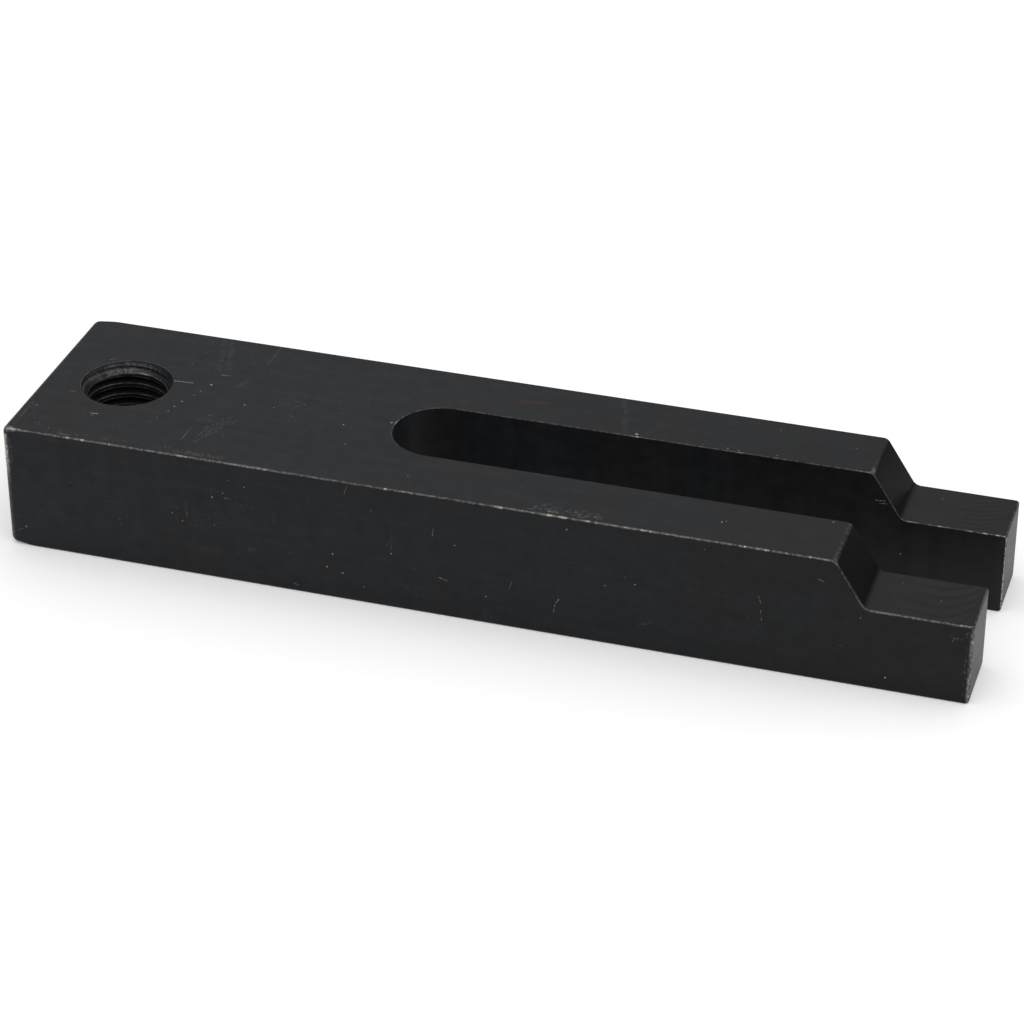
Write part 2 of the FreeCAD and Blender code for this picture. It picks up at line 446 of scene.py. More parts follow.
def scratch(a, b, c, d, width, strength):
    """A scratch between two places on a face, in millimetres: points, strengths, depths and stains."""
    start = np.array([a, b], float)
    way = np.array([c, d], float) - start
    length = float(np.hypot(*way))
    across = np.array([-way[1], way[0]]) / length
    count = max(2, round(length / width))
    t = np.linspace(0, 1, count + 1)[:, None]
    wander = (random.random((count + 1, 1)) - 0.5) * SCRATCH_WANDER * width
    middle = start + t * way + wander * across
    half = width * drawn(SCRATCH_HALF, (count + 1, 1))
    points = np.concatenate([middle, middle + half * across, middle - half * across])
    points = np.concatenate([points, [start - way / length * width, start + way + way / length * width]])
    strengths = np.zeros(len(points))
    strengths[: count + 1] = strength * drawn(SCRATCH_STRENGTH, count + 1)
    return points * MM, strengths, strengths * width * SCRATCH_DEPTH * MM, strengths * 0


def scuff(a, b, c, d, width, count, strength):
    """Many fine specks, strewn along a line of this width on a face, as one mark."""
    along = random.random((count, 1))
    across = random.normal(0.0, SCUFF_SPREAD, (count, 1)) * width
    way = np.array([c - a, d - b]) / math.hypot(c - a, d - b)
    places = np.array([a, b]) + along * [c - a, d - b] + across * [-way[1], way[0]]
    specks = []
    for place in places:
        size = drawn(SPECK_SIZE)
        specks.append(speck(*place, size, strength * drawn(SPECK_STRENGTH)))
    return tuple(np.concatenate(column) for column in zip(*specks))


def speck(a, b, size, strength):
    """A short fine stroke on a face, that lies any way: points, strengths, depths and stains."""
    facing = random.random() * 2 * math.pi
    turn = np.arange(SPECK_SIDES) * 2 * math.pi / SPECK_SIDES
    long = size * (1 + STROKE_REACH * random.random() ** 2)
    ring = np.stack([np.cos(turn) * long, np.sin(turn) * size * STROKE_WIDTH], 1)
    ring = ring @ [[math.cos(facing), math.sin(facing)], [-math.sin(facing), math.cos(facing)]]
    points = np.concatenate([ring, [[0.0, 0.0]]]) + [a, b]
    inner = np.array([0.0] * SPECK_SIDES + [1.0])
    return points * MM, inner * strength, inner * size * SCRATCH_DEPTH * MM, inner * 0


def soft_line(a, b, c, d, width):
    """A soft band along a line on a face: its points, and shares that fade out from its middle."""
    way = np.array([c - a, d - b])
    length = float(np.hypot(*way))
    across = np.array([-way[1], way[0]]) / length
    t = np.linspace(-BAND_OVERSHOOT, 1 + BAND_OVERSHOOT, BAND_STATIONS)[:, None]
    rows = [np.array([a, b]) + t * way + offset * width * across for offset in BAND_OFFSETS]
    fade = np.clip(1 - np.abs(t[:, 0] - 0.5) / (0.5 + BAND_OVERSHOOT), 0, 1) ** 0.5
    shares = [fade * share for share in BAND_SHARES]
    return np.concatenate(rows) * MM, np.concatenate(shares)


def smudge(a, b, c, d, width, strength):
    """A soft red stain along a line on a face, that leaves the surface flat."""
    points, shares = soft_line(a, b, c, d, width)
    return points, shares * 0, shares * 0, shares * strength


def smear(a, b, c, d, width, strength):
    """A soft pale rub along a line on a face, that leaves the surface flat."""
    points, shares = soft_line(a, b, c, d, width)
    return points, shares * strength, shares * 0, shares * 0


def gather(marks):
    """The points, strengths, depths and stains of all of a face's marks."""
    if not marks:
        return np.zeros((0, 2)), np.zeros(0), np.zeros(0), np.zeros(0)
    return tuple(np.concatenate(column) for column in zip(*marks))


random = np.random.default_rng(7)
hole_random = np.random.default_rng(4)

# wear along the edges and in the hole, which also paints light: highlight lines on the roundings and
# the rims, glints on the thread's edges and the countersinks' lighter far side
NEAR_EDGE_WEAR_AND_GLINT = 0.62
FAR_EDGE_WEAR_AND_GLINT = 0.25
HEEL_EDGE_WEAR = 0.50
NOSE_EDGE_WEAR = 0.35
BEND_EDGE_SHARE = 0.6
LOWER_WEAR = 0.25
SLOT_WEAR = 0.33
THREAD_WEAR_AND_GLINT = 0.42
CONE_WEAR_AND_HIGHLIGHT = 0.25
RING_WEAR = 0.20
RIM_WEAR = 0.30
HEEL_NEAR_WEAR = 0.55
HEEL_FAR_WEAR = 0.25
NOSE_NEAR_WEAR = 0.62
NOSE_FAR_WEAR = 0.35

# where the wear is stronger: place along the bar, half width and strength, in millimetres
NEAR_EDGE_SPOTS = [
    (-99.4, 1.5, 0.3), (-86.7, 0.6, 0.4), (-83.7, 0.5, 0.6), (-77.2, 1.5, 0.3), (-61.9, 2.0, 0.3),
    (-54.3, 0.8, 0.4), (-43.9, 0.4, 0.5), (-39.7, 0.4, 0.5), (-18.2, 0.3, 1.2), (5.9, 0.5, 2.0),
    (16.3, 0.6, 1.6), (18.8, 0.6, 1.8), (24.1, 0.4, 0.5), (26.1, 0.4, 0.4), (35.2, 0.4, 0.5),
    (36.4, 0.4, 0.5), (55.4, 0.8, 0.4), (59.4, 1.2, 0.6), (63.8, 0.5, 0.6), (68.5, 0.6, 0.4),
    (100.0, 1.5, 0.4),
]
FAR_EDGE_SPOTS = [(-99.0, 2.0, 0.3), (40.0, 0.8, 0.4), (100.0, 2.0, 0.2)]
SLOT_EDGE_SPOTS = {
    NEAR_SIDE: [(99.5, 1.5, 0.4)],
    FAR_SIDE: [
        (-24.4, 0.3, 0.7), (-21.0, 0.4, 0.5), (24.2, 0.5, 1.0), (45.7, 1.0, 0.4), (53.6, 0.4, 0.4),
        (71.7, 1.5, 0.3), (82.0, 1.5, 0.4), (88.0, 1.5, 0.4), (94.0, 0.8, 0.6), (97.2, 1.0, 0.6),
        (100.2, 1.0, 0.9), (101.6, 0.5, 0.8),
    ],
}
# wear down the upright corners, as shares from the top down
HEEL_SHARES = ([0.0, 0.3, 0.45, 0.75, 1.0], [2.0, 2.2, 0.45, 0.35, 0.6])
NOSE_SHARES = ([0.0, 0.3, 0.6, 1.0], [1.2, 1.3, 1.3, 1.4])
# wear and a painted highlight across each tine's crest, from the outside to the slot
CREST_WEAR_AND_HIGHLIGHT = {
    NEAR_SIDE: ([0.0, 0.3, 0.8, 1.0], [0.35, 0.2, 0.2, 0.25]),
    FAR_SIDE: ([0.0, 0.5, 0.8, 1.0], [0.15, 0.05, 0.2, 0.5]),
}
# wear round the countersinks and the thread, by the angle from the nose's side in degrees; the peaks are
# painted light: countersinks lighter on their far side, thread glints near 85 and 138 degrees
CONE_LIGHT_ANGLES = [0, 20, 45, 75, 100, 140, 180, 270, 360]
CONE_LIGHT_SHARES = [0.5, 0.3, 0.1, 0.6, 1.0, 0.8, 0.4, 0.4, 0.5]
THREAD_GLINT_ANGLES = [0, 75, 85, 95, 105, 125, 138, 150, 165, 360]
THREAD_GLINT_SHARES = [0.7, 0.8, 1.7, 1.1, 0.7, 0.9, 1.8, 1.4, 0.6, 0.7]

# the mottling of the countersinks' wear, round them and down them
CONE_BLOTCHES = 44
CONE_RINGS = 9

# where the hole's wear, glints and painted shade end, as shares of a countersink's depth and as sizes
# beyond the bore
CONE_END = (0.85, 1.1)
GROOVE_START = 0.9
GROOVE_REACH = 0.1 * MM
RING_WIDTH = 0.12
RING_REACH = 0.2 * MM
RING_LEAST = 0.4
THREAD_EDGE = 0.6

# how dark the painted shade is on the slopes, in bands at their crest and root, and in the hole
SLOPE_SHADE = {NEAR_SIDE: 0.42, FAR_SIDE: 0.5}
BAND_SHADE = 0.15
BAND_WIDTH = 1.5 * MM
HOLE_SHADE = 0.30
GROOVE_SHADE = 1.0
CONE_SHADE = 0.3

# how pale the slot's walls are
SLOT_PALE = 0.006

# marks in millimetres, placed by (x, y) on the top and the steps, by (x, z) on the near side and the
# slot's far wall, and by (y, z) on the nose faces; a dot is its place, radius and strength, a scratch,
# smudge or smear its two ends, width and strength, and a scuff its two ends, width, count and strength
TOP_DOTS = [
    (24.2, 11.0, 0.35, 1.0), (-25.3, 0.6, 0.28, 0.7), (-66.6, 4.5, 0.3, 0.9), (-73.9, 12.0, 0.2, 0.35),
    (-67.8, 1.3, 0.18, 0.5), (-68.4, -0.7, 0.18, 0.5), (-56.9, -1.4, 0.25, 0.7), (-50.7, -0.6, 0.18, 0.5),
    (-98.2, -14.2, 0.25, 0.3), (-34.5, -3.1, 0.18, 0.5), (-31.5, -10.5, 0.2, 0.5), (-28.7, -10.8, 0.18, 0.4),
    (-15.2, -18.9, 0.2, 0.5), (49.3, -17.3, 0.22, 0.6), (50.1, -16.8, 0.16, 0.4), (70.2, -10.8, 0.22, 0.6),
    (-47.1, 2.9, 0.15, 0.4), (-46.1, 2.8, 0.15, 0.4), (-45.0, 2.3, 0.15, 0.4), (-46.1, -2.9, 0.2, 0.45),
    (-69.9, -3.9, 0.25, 0.9), (-70.6, -6.3, 0.22, 0.8), (-71.1, -8.5, 0.2, 0.8), (-72.4, -11.6, 0.18, 0.7),
    (-73.1, -13.8, 0.15, 0.4), (7.9, -15.9, 0.2, 0.25), (68.4, 18.6, 0.2, 0.4), (27.4, 23.6, 0.15, 0.3),
    (52.0, 21.3, 0.15, 0.35), (34.9, 15.7, 0.15, 0.3), (38.2, 10.8, 0.15, 0.5), (43.4, 10.9, 0.18, 0.6),
    (45.7, 10.8, 0.2, 0.6), (53.6, 11.1, 0.18, 0.6), (-68.1, 15.0, 0.5, 0.12), (-67.5, 10.5, 0.4, 0.12),
]
TOP_SCRATCHES = [
    (-74.5, 3.8, -70.6, 4.1, 0.28, 1.0), (-66.0, 9.1, -64.4, 9.2, 0.22, 0.8),
    (-86.0, -14.0, -84.8, -13.8, 0.4, 1.0), (-85.4, -14.4, -85.7, -15.2, 0.25, 0.5),
    (-91.4, 8.4, -90.0, 9.2, 0.3, 0.45), (-94.0, -6.7, -92.9, -6.5, 0.22, 0.6),
    (-64.3, -20.2, -63.9, -13.5, 0.2, 0.25),
    (-62.7, -23.7, -55.1, -23.5, 0.2, 0.45), (-61.5, -22.9, -56.5, -22.7, 0.16, 0.35),
    (21.4, -23.2, 26.5, -22.4, 0.2, 0.35), (-89.4, -23.6, -87.4, -23.9, 0.22, 0.6),
    (11.0, -23.7, 13.0, -23.6, 0.18, 0.4),
]
TOP_SCUFFS = [
    (-60.6, -15.6, -57.6, -7.8, 2.6, 120, 0.26), (-61.2, -18.8, -59.0, -14.0, 1.2, 40, 0.35),
    (-63.5, -9.0, -55.5, -14.2, 3.0, 40, 0.2), (-62.8, -23.5, -55.0, -23.2, 0.8, 90, 0.40),
    (12.0, -22.9, 27.0, -23.3, 1.1, 110, 0.42), (18.5, -22.4, 25.5, -21.6, 1.1, 50, 0.30),
    (13.6, -21.8, 15.6, -20.4, 1.0, 20, 0.40), (-99.3, -20.0, -88.0, -22.8, 1.2, 26, 0.35),
    (-89.4, -23.4, -86.6, -23.7, 0.6, 24, 0.8),
    (-91.0, -22.6, -62.0, -22.4, 1.2, 40, 0.25), (-95.0, -12.0, -66.0, -16.0, 6.0, 40, 0.14),
    (-80.0, 15.0, -55.0, 14.0, 6.0, 40, 0.15), (-50.0, 0.0, -30.0, 6.0, 8.0, 40, 0.15),
]
TOP_SMUDGES = [(-15.1, 12.8, -11.9, 13.8, 0.8, 0.7), (-2.8, 16.6, 3.3, 18.0, 0.9, 0.8)]
TOP_SMEARS = [
    (-70.9, 23.0, -67.9, 12.2, 0.8, 0.04), (-69.0, 23.0, -65.9, 12.6, 0.6, 0.04),
    (-58.3, 23.0, -58.5, 14.6, 0.5, 0.03), (-69.0, 15.0, -67.2, 15.0, 0.7, 0.05),
    (-68.2, 10.6, -66.9, 10.6, 0.6, 0.05), (-60.6, -16.0, -57.4, -8.0, 2.0, 0.11),
    (-63.0, -23.4, -54.5, -23.1, 0.9, 0.17), (12.5, -22.9, 26.5, -22.9, 1.0, 0.17),
    (16.0, -22.2, 25.0, -21.8, 1.0, 0.06), (15.5, -23.4, 17.5, -23.4, 0.6, 0.35),
    (18.0, 23.6, 21.5, 12.0, 0.8, 0.025), (19.5, 19.7, 19.7, 18.0, 0.4, 0.06),
    (-67.4, 14.3, -65.9, 13.6, 0.5, 0.05), (-61.0, 5.2, -59.8, 8.6, 0.8, 0.03),
    (-78.1, 9.1, -77.0, 9.4, 0.4, 0.05), (-99.5, -21.0, -99.5, 20.0, 0.4, 0.04),
    (-99.5, -22.5, -99.5, -14.0, 0.5, 0.10),
]
FRONT_SMEARS = [
    (-61.3, 17.0, -61.1, 13.0, 0.5, 0.03), (-42.0, 18.3, -42.2, 15.6, 0.4, 0.03),
    (-16.9, 17.5, -17.0, 13.8, 0.4, 0.04), (-60.0, 6.4, -55.0, 5.8, 1.0, 0.012),
    (-48.2, 8.0, -46.2, 8.6, 0.6, 0.03), (100.3, 15.5, 100.3, 2.0, 0.40, 0.11),
    (-99.6, 25.0, -99.6, 19.0, 0.4, 0.10),
]
STEP_DOTS = {
    NEAR_SIDE: [(93.6, -17.3, 0.2, 0.4), (85.2, -13.0, 0.18, 0.3)],
    FAR_SIDE: [(86.5, 20.7, 0.15, 0.3), (91.2, 16.4, 0.18, 0.3), (96.3, 16.3, 0.15, 0.25)],
}
FRONT_DOTS = [
    (-55.4, 19.3, 0.2, 0.7), (-53.0, 20.7, 0.15, 0.5), (-51.7, 24.0, 0.15, 0.5), (-48.3, 23.0, 0.18, 0.6),
    (-62.2, 12.4, 0.18, 0.6), (-59.4, 12.0, 0.15, 0.3), (-54.8, 15.5, 0.15, 0.35), (-53.5, 14.9, 0.15, 0.3),
    (-56.3, 14.1, 0.15, 0.3), (-55.2, 12.7, 0.15, 0.3), (-57.3, 15.0, 0.15, 0.3), (-48.9, 14.8, 0.15, 0.3),
    (-64.4, 14.0, 0.2, 0.6), (-21.2, 22.2, 0.18, 0.5), (-17.0, 12.9, 0.22, 0.8), (-29.6, 10.5, 0.18, 0.6),
    (-30.9, 7.2, 0.2, 0.8), (-27.5, 6.3, 0.2, 0.7), (-23.0, 3.8, 0.18, 0.5), (-3.5, 17.3, 0.2, 0.6),
    (19.8, 25.3, 0.2, 0.7), (20.6, 17.7, 0.15, 0.3), (27.8, 13.7, 0.2, 0.7), (33.9, 15.1, 0.18, 0.5),
    (31.8, 16.4, 0.15, 0.3), (3.0, 6.4, 0.18, 0.3), (47.8, 25.8, 0.2, 0.6), (-97.6, 4.7, 0.25, 0.8),
    (84.9, 3.1, 0.22, 0.7), (-97.8, 24.4, 0.2, 0.3), (79.3, 16.0, 0.2, 0.4),
    (-76.1, 9.4, 0.2, 0.12), (-86.9, 17.3, 0.2, 0.15), (-47.0, 8.2, 0.2, 0.2),
]
FRONT_SCRATCHES = [
    (-52.7, 19.6, -51.3, 19.7, 0.2, 0.6), (-61.3, 16.5, -61.1, 13.2, 0.2, 0.2),
    (-47.8, 8.0, -46.5, 8.5, 0.2, 0.25), (-16.8, 15.4, -17.0, 13.6, 0.18, 0.35),
    (-38.3, 1.9, -37.3, 1.6, 0.25, 0.35), (-26.2, 26.9, -26.7, 25.4, 0.2, 0.4),
    (-8.0, 20.3, -8.2, 18.7, 0.18, 0.5), (-6.9, 9.1, -5.1, 8.6, 0.2, 0.7), (8.4, 10.8, 8.0, 9.4, 0.2, 0.6),
    (18.3, 8.7, 17.7, 7.7, 0.2, 0.7), (17.5, 7.3, 17.2, 5.5, 0.18, 0.5), (34.8, 5.9, 37.0, 6.5, 0.18, 0.2),
    (-99.5, 3.5, -98.2, 4.1, 0.18, 0.5), (58.9, 17.2, 59.5, 15.5, 0.18, 0.5),
    (59.5, 14.1, 59.7, 11.5, 0.18, 0.45), (70.5, 23.3, 71.7, 22.9, 0.2, 0.6),
    (75.0, 8.9, 76.0, 8.8, 0.18, 0.4), (-42.0, 18.3, -42.2, 16.1, 0.2, 0.15),
]
FRONT_SCUFFS = [
    (-66.0, 12.8, -49.0, 14.6, 3.5, 60, 0.15), (-64.0, 24.0, -46.0, 18.0, 5.0, 30, 0.10),
    (-96.0, 14.0, -40.0, 12.0, 9.0, 60, 0.08), (-40.0, 8.0, 70.0, 12.0, 9.0, 90, 0.08),
    (100.4, 16.5, 100.4, 2.0, 0.5, 18, 0.35), (97.0, 15.2, 99.4, 14.6, 0.8, 14, 0.4),
    (-99.7, 26.0, -99.7, 18.0, 0.4, 16, 0.4),
]
NOSE_SCUFFS = {
    NEAR_SIDE: [(-23.6, 16.0, -23.6, 1.5, 0.8, 46, 0.6), (-21.0, 16.5, -16.0, 3.0, 6.0, 20, 0.25)],
    FAR_SIDE: [(10.9, 16.5, 10.9, 1.5, 0.8, 46, 0.6), (14.0, 16.5, 20.0, 3.0, 6.0, 20, 0.25)],
}
NOSE_SMEARS = {
    NEAR_SIDE: [(-23.7, 15.5, -23.7, 2.0, 0.5, 0.10)],
    FAR_SIDE: [(10.8, 15.5, 10.8, 2.0, 0.6, 0.14)],
}
SLOT_DOTS = [(80.3, 10.0, 0.25, 0.6)]
SLOT_SCRATCHES = [(74.6, 21.8, 76.5, 21.9, 0.22, 0.8), (75.3, 21.2, 77.0, 21.3, 0.2, 0.6)]


def marks_from(dots=(), scratches=(), scuffs=(), smudges=(), smears=()):
    """A face's marks of every kind."""
    found = [pit(a, b, radius, strength * DOT_SHARE) for a, b, radius, strength in dots]
    found += [scratch(*line) for line in scratches]
    found += [scuff(*band) for band in scuffs]
    found += [smudge(*line) for line in smudges]
    return found + [smear(*line) for line in smears]


def outer_stations():
    """Stations round the outside from the near tine's nose to the far one's, as distances s and u."""
    heel = spread(0, S_HEEL, EDGE_SPACING)
    heel_corner = spread(S_HEEL, S_SIDE, HEEL_CORNER * QUARTER / CORNER_STEPS)
    side_u = np.concatenate([
        spread(HEEL_X + HEEL_CORNER, U_CREST, EDGE_SPACING),
        bend_stations(),
        spread(U_STEP, U_NOSE - NOSE_CORNER, EDGE_SPACING),
    ])
    side = S_SIDE + upper_line(side_u)[0] - HEEL_X - HEEL_CORNER
    nose_corner = spread(S_CORNER, S_NOSE, NOSE_CORNER * QUARTER / CORNER_STEPS)
    nose = np.append(spread(S_NOSE, S_MOUTH, EDGE_SPACING), S_MOUTH)
    before = np.concatenate([heel, heel_corner])
    after = np.concatenate([nose_corner, nose])
    s = np.concatenate([before, side, after])
    u = np.concatenate([outer_wall(before)[0][:, 0], side_u, U_NOSE + outer_wall(after)[0][:, 0] - NOSE_X])
    return np.concatenate([-s[:0:-1], s]), np.concatenate([u[:0:-1], u])


def bend_stations():
    """Stations along the upper outline from the crest's rounding to the root's, as distances u."""
    return np.concatenate([
        spread(U_CREST, U_SLOPE, CREST_RADIUS * TILT / BEND_STEPS),
        spread(U_SLOPE, U_ROOT, EDGE_SPACING),
        spread(U_ROOT, U_STEP, ROOT_RADIUS * TILT / BEND_STEPS),
    ])


def slot_stations():
    """Stations of half of the slot's edge, from the round end's middle out above, round the nose and
    back below: distance s, x, z and tilt of each, u of those above, and where each stretch ends."""
    arc = spread(0, S_STRAIGHT, EDGE_SPACING)
    line_u = np.concatenate([
        spread(SLOT_X, U_CREST, EDGE_SPACING),
        bend_stations(),
        spread(U_STEP, U_NOSE - OUTER_EDGE_RADIUS, EDGE_SPACING),
    ])
    line_x, line_z, line_tilt = upper_line(line_u)
    turn = np.linspace(0, QUARTER, ARC_STEPS + 1)
    upper_x = NOSE_X - OUTER_EDGE_RADIUS * (1 - np.sin(turn))
    upper_z = NOSE_THICKNESS - OUTER_EDGE_RADIUS * (1 - np.cos(turn))
    face_z = spread(NOSE_THICKNESS - OUTER_EDGE_RADIUS, NOSE_RADIUS, EDGE_SPACING)[1:]
    lower_x = NOSE_X - NOSE_RADIUS * (1 - np.cos(turn))
    lower_z = NOSE_RADIUS * (1 - np.sin(turn))
    base_x = spread(NOSE_X - NOSE_RADIUS, SLOT_X, EDGE_SPACING)[1:]
    base_arc = np.append(spread(S_STRAIGHT, 0, EDGE_SPACING), 0.0)
    runs = [
        (arc, np.full(len(arc), TOP_Z), np.zeros(len(arc))),
        (S_STRAIGHT + line_x - SLOT_X, line_z, line_tilt),
        (S_STRAIGHT + upper_x - SLOT_X, upper_z, turn),
        (np.full(len(face_z), S_STRAIGHT + NOSE_X - SLOT_X), face_z, np.full(len(face_z), QUARTER)),
        (S_STRAIGHT + lower_x - SLOT_X, lower_z, QUARTER + turn),
        (S_STRAIGHT + base_x - SLOT_X, np.zeros(len(base_x)), np.full(len(base_x), math.pi)),
        (base_arc, np.zeros(len(base_arc)), np.full(len(base_arc), math.pi)),
    ]
    s, z, tilt = [np.concatenate(column) for column in zip(*runs)]
    above = np.concatenate([slot_wall(arc)[0][:, 0], line_u, [U_NOSE - OUTER_EDGE_RADIUS]])
    u = np.full(len(s), np.inf)
    u[: len(above)] = above
    face_top = len(above) - 1 + ARC_STEPS
    face_low = face_top + len(face_z) + 1
    return s, z, tilt, u, (len(above) - 1, face_top, face_low, face_low + ARC_STEPS)


def worn(at, spots):
    """Wear along an edge, as a sum of spots: place, half width and strength each, in millimetres."""
    total = np.zeros(len(at))
    for place, reach, strength in spots:
        total = total + strength * np.exp(-(((at / MM - place) / reach) ** 2))
    return total


def upper_wear_and_glint(s, u, x):
    """Wear and a painted highlight along the outer edge above: heel, sides, slopes and nose."""
    d = np.abs(s)
    side = np.where(s < 0, NEAR_EDGE_WEAR_AND_GLINT, FAR_EDGE_WEAR_AND_GLINT)
    side = np.where((u > U_SLOPE) & (u < U_STEP), side * BEND_EDGE_SHARE, side)
    heel = blend(d, S_HEEL, S_SIDE)
    nose = blend(d, S_CORNER, S_NOSE)
    wear = HEEL_EDGE_WEAR * (1 - heel) + side * heel * (1 - nose) + NOSE_EDGE_WEAR * nose
    return wear + np.where(s < 0, worn(x, NEAR_EDGE_SPOTS), worn(x, FAR_EDGE_SPOTS))


def add_outer_edges(shell):
    """The roundings along the outside, above and below. Gives their stations and rings."""
    s, u = outer_stations()
    plan, plan_normal = outer_wall(s)
    _, z, tilt = upper_line(u)
    x = plan[:, 0]
    wall = upright(plan_normal, 0.0)
    d = np.abs(s)
    heel = 1 - blend(d, (S_HEEL + S_SIDE) / 2, S_SIDE + HEEL_FADE)
    nose = blend(d, S_CORNER, S_NOSE)
    radius = OUTER_EDGE_RADIUS + (HEEL_RADIUS - OUTER_EDGE_RADIUS) * heel
    edge = np.column_stack([plan, z])
    top_wall, top_cap = add_rounding(shell, edge, wall, leaning(tilt), radius, upper_wear_and_glint(s, u, x))
    down = np.broadcast_to([0.0, 0.0, -1.0], wall.shape)
    low_radius = radius + (NOSE_RADIUS - OUTER_EDGE_RADIUS) * nose
    low_wall, low_cap = add_rounding(shell, upright(plan, 0.0), wall, down, low_radius, LOWER_WEAR + 0 * s)
    return {
        "s": s, "u": u, "wall": wall, "tilt": tilt,
        "top_wall": top_wall, "top_cap": top_cap, "low_wall": low_wall, "low_cap": low_cap,
    }


def add_slot_edges(shell, side):
    """The roundings along one half of the slot's edge. Gives their stations and rings."""
    s, z, tilt, u, ends = slot_stations()
    plan, plan_normal = slot_wall(side * s)
    wall = upright(plan_normal, 0.0)
    spots = worn(plan[:, 0], SLOT_EDGE_SPOTS[side]) * (z > NOSE_RADIUS)
    radius = np.full(len(s), SLOT_EDGE_RADIUS)
    edge = np.column_stack([plan, z])
    to_wall, to_cap = add_rounding(shell, edge, wall, leaning(tilt), radius, SLOT_WEAR + spots)
    return {"s": s, "u": u, "wall": wall, "to_wall": to_wall, "to_cap": to_cap, "ends": ends}


def part(values, low, high):
    """The numbers of the stations whose value is from low to high."""
    return np.flatnonzero((values > low - FLAT_GAP) & (values < high + FLAT_GAP))


def joined(*runs):
    """One closed loop from runs of points, without the points where one run ends and the next starts."""
    points = np.concatenate(runs)
    apart = np.abs(points - np.roll(points, 1, axis=0)).max(axis=1) > FLAT_GAP
    return points[apart]


def add_bend(shell, outer, slot, side):
    """A tine's crest, slope and root, ruled from the outside to the slot."""
    tine = part(side * outer["s"], 0, S_MOUTH)
    outside = tine[part(outer["u"][tine], U_CREST, U_STEP)]
    outside = outside[np.argsort(outer["u"][outside])]
    within = part(slot["u"], U_CREST, U_STEP)
    tilt = outer["tilt"][outside]
    t = np.linspace(0, 1, SPAN_STEPS + 1)
    u = outer["u"][outside]
    crest = np.sin(np.clip((u - U_CREST) / (U_SLOPE - U_CREST), 0, 1) * math.pi) ** 2
    # wear and a painted highlight across the crest
    wear = crest[:, None] * np.interp(t, *CREST_WEAR_AND_HIGHLIGHT[side])
    # painted shade on the slope, deeper in bands at its crest and root, and stronger on the far tine
    bands = np.exp(-(((u - U_SLOPE) / BAND_WIDTH) ** 2)) + np.exp(-(((u - U_ROOT) / BAND_WIDTH) ** 2))
    dark = np.minimum(SLOPE_SHADE[side] + BAND_SHADE * bands, 1.0)
    dark = dark * blend(u, U_CREST, U_SLOPE) * (1 - blend(u, U_ROOT, U_STEP))
    first = outer["top_cap"][outside]
    return add_span(shell, first, slot["to_cap"][within], leaning(tilt), wear, dark[:, None])


def add_corner(shell, outer, low, high, strength, shares):
    """A rounded upright corner between two distances s, worn along its middle. Gives its points."""
    stations = part(outer["s"], low, high)
    normals = outer["wall"][stations]
    wear = strength * np.sin(np.linspace(0, math.pi, len(stations)))
    downward = np.interp(np.linspace(0, 1, SPAN_STEPS + 1), *shares)
    ring = outer["top_wall"][stations]
    return add_span(shell, ring, outer["low_wall"][stations], normals, wear[:, None] * downward)


def add_sides(shell, outer, slots):
    """The outer walls: heel, both sides, both nose faces and the four rounded corners."""
    heel_near = add_corner(shell, outer, -S_SIDE, -S_HEEL, HEEL_NEAR_WEAR, HEEL_SHARES)
    heel_far = add_corner(shell, outer, S_HEEL, S_SIDE, HEEL_FAR_WEAR, HEEL_SHARES)
    nose_near = add_corner(shell, outer, -S_NOSE, -S_CORNER, NOSE_NEAR_WEAR, NOSE_SHARES)
    nose_far = add_corner(shell, outer, S_CORNER, S_NOSE, NOSE_FAR_WEAR, NOSE_SHARES)

    def walled(low, high, first, last, normal, marks=()):
        stations = part(outer["s"], low, high)
        loop = joined(outer["top_wall"][stations], last, outer["low_wall"][stations][::-1], first[::-1])
        add_plane(shell, [loop], normal, marks)

    walled(-S_HEEL, S_HEEL, heel_near[-1], heel_far[0], (-1, 0, 0))
    front_marks = marks_from(FRONT_DOTS, FRONT_SCRATCHES, FRONT_SCUFFS, (), FRONT_SMEARS)
    walled(-S_CORNER, -S_SIDE, nose_near[-1], heel_near[0], (0, -1, 0), front_marks)
    walled(S_SIDE, S_CORNER, heel_far[-1], nose_far[0], (0, 1, 0))
    mouths = {}
    for side in (NEAR_SIDE, FAR_SIDE):
        _, face_top, face_low, _ = slots[side]["ends"]
        mouths[side] = slots[side]["to_cap"][face_top: face_low + 1]
    nose_marks = {side: marks_from(scuffs=NOSE_SCUFFS[side], smears=NOSE_SMEARS[side]) for side in mouths}
    walled(-S_MOUTH, -S_NOSE, mouths[NEAR_SIDE], nose_near[0], (1, 0, 0), nose_marks[NEAR_SIDE])
    walled(S_NOSE, S_MOUTH, nose_far[-1], mouths[FAR_SIDE], (1, 0, 0), nose_marks[FAR_SIDE])


def add_slot_walls(shell, slots):
    """The slot's round end and its two flat walls."""
    for side, slot in slots.items():
        count = len(part(slot["s"][: slot["ends"][0]], 0, S_STRAIGHT))
        upper = slot["to_wall"][:count]
        lower = slot["to_wall"][-count:][::-1]
        rounded = add_span(shell, upper, lower, slot["wall"][:count], pale=SLOT_PALE)
        marks = marks_from(SLOT_DOTS, SLOT_SCRATCHES) if side == FAR_SIDE else ()
        straight = slot["to_wall"][count - 1: len(slot["to_wall"]) - count + 1]
        loop = joined(straight, rounded[-1][::-1])
        add_plane(shell, [loop], (0, -side, 0), marks, pale=SLOT_PALE)


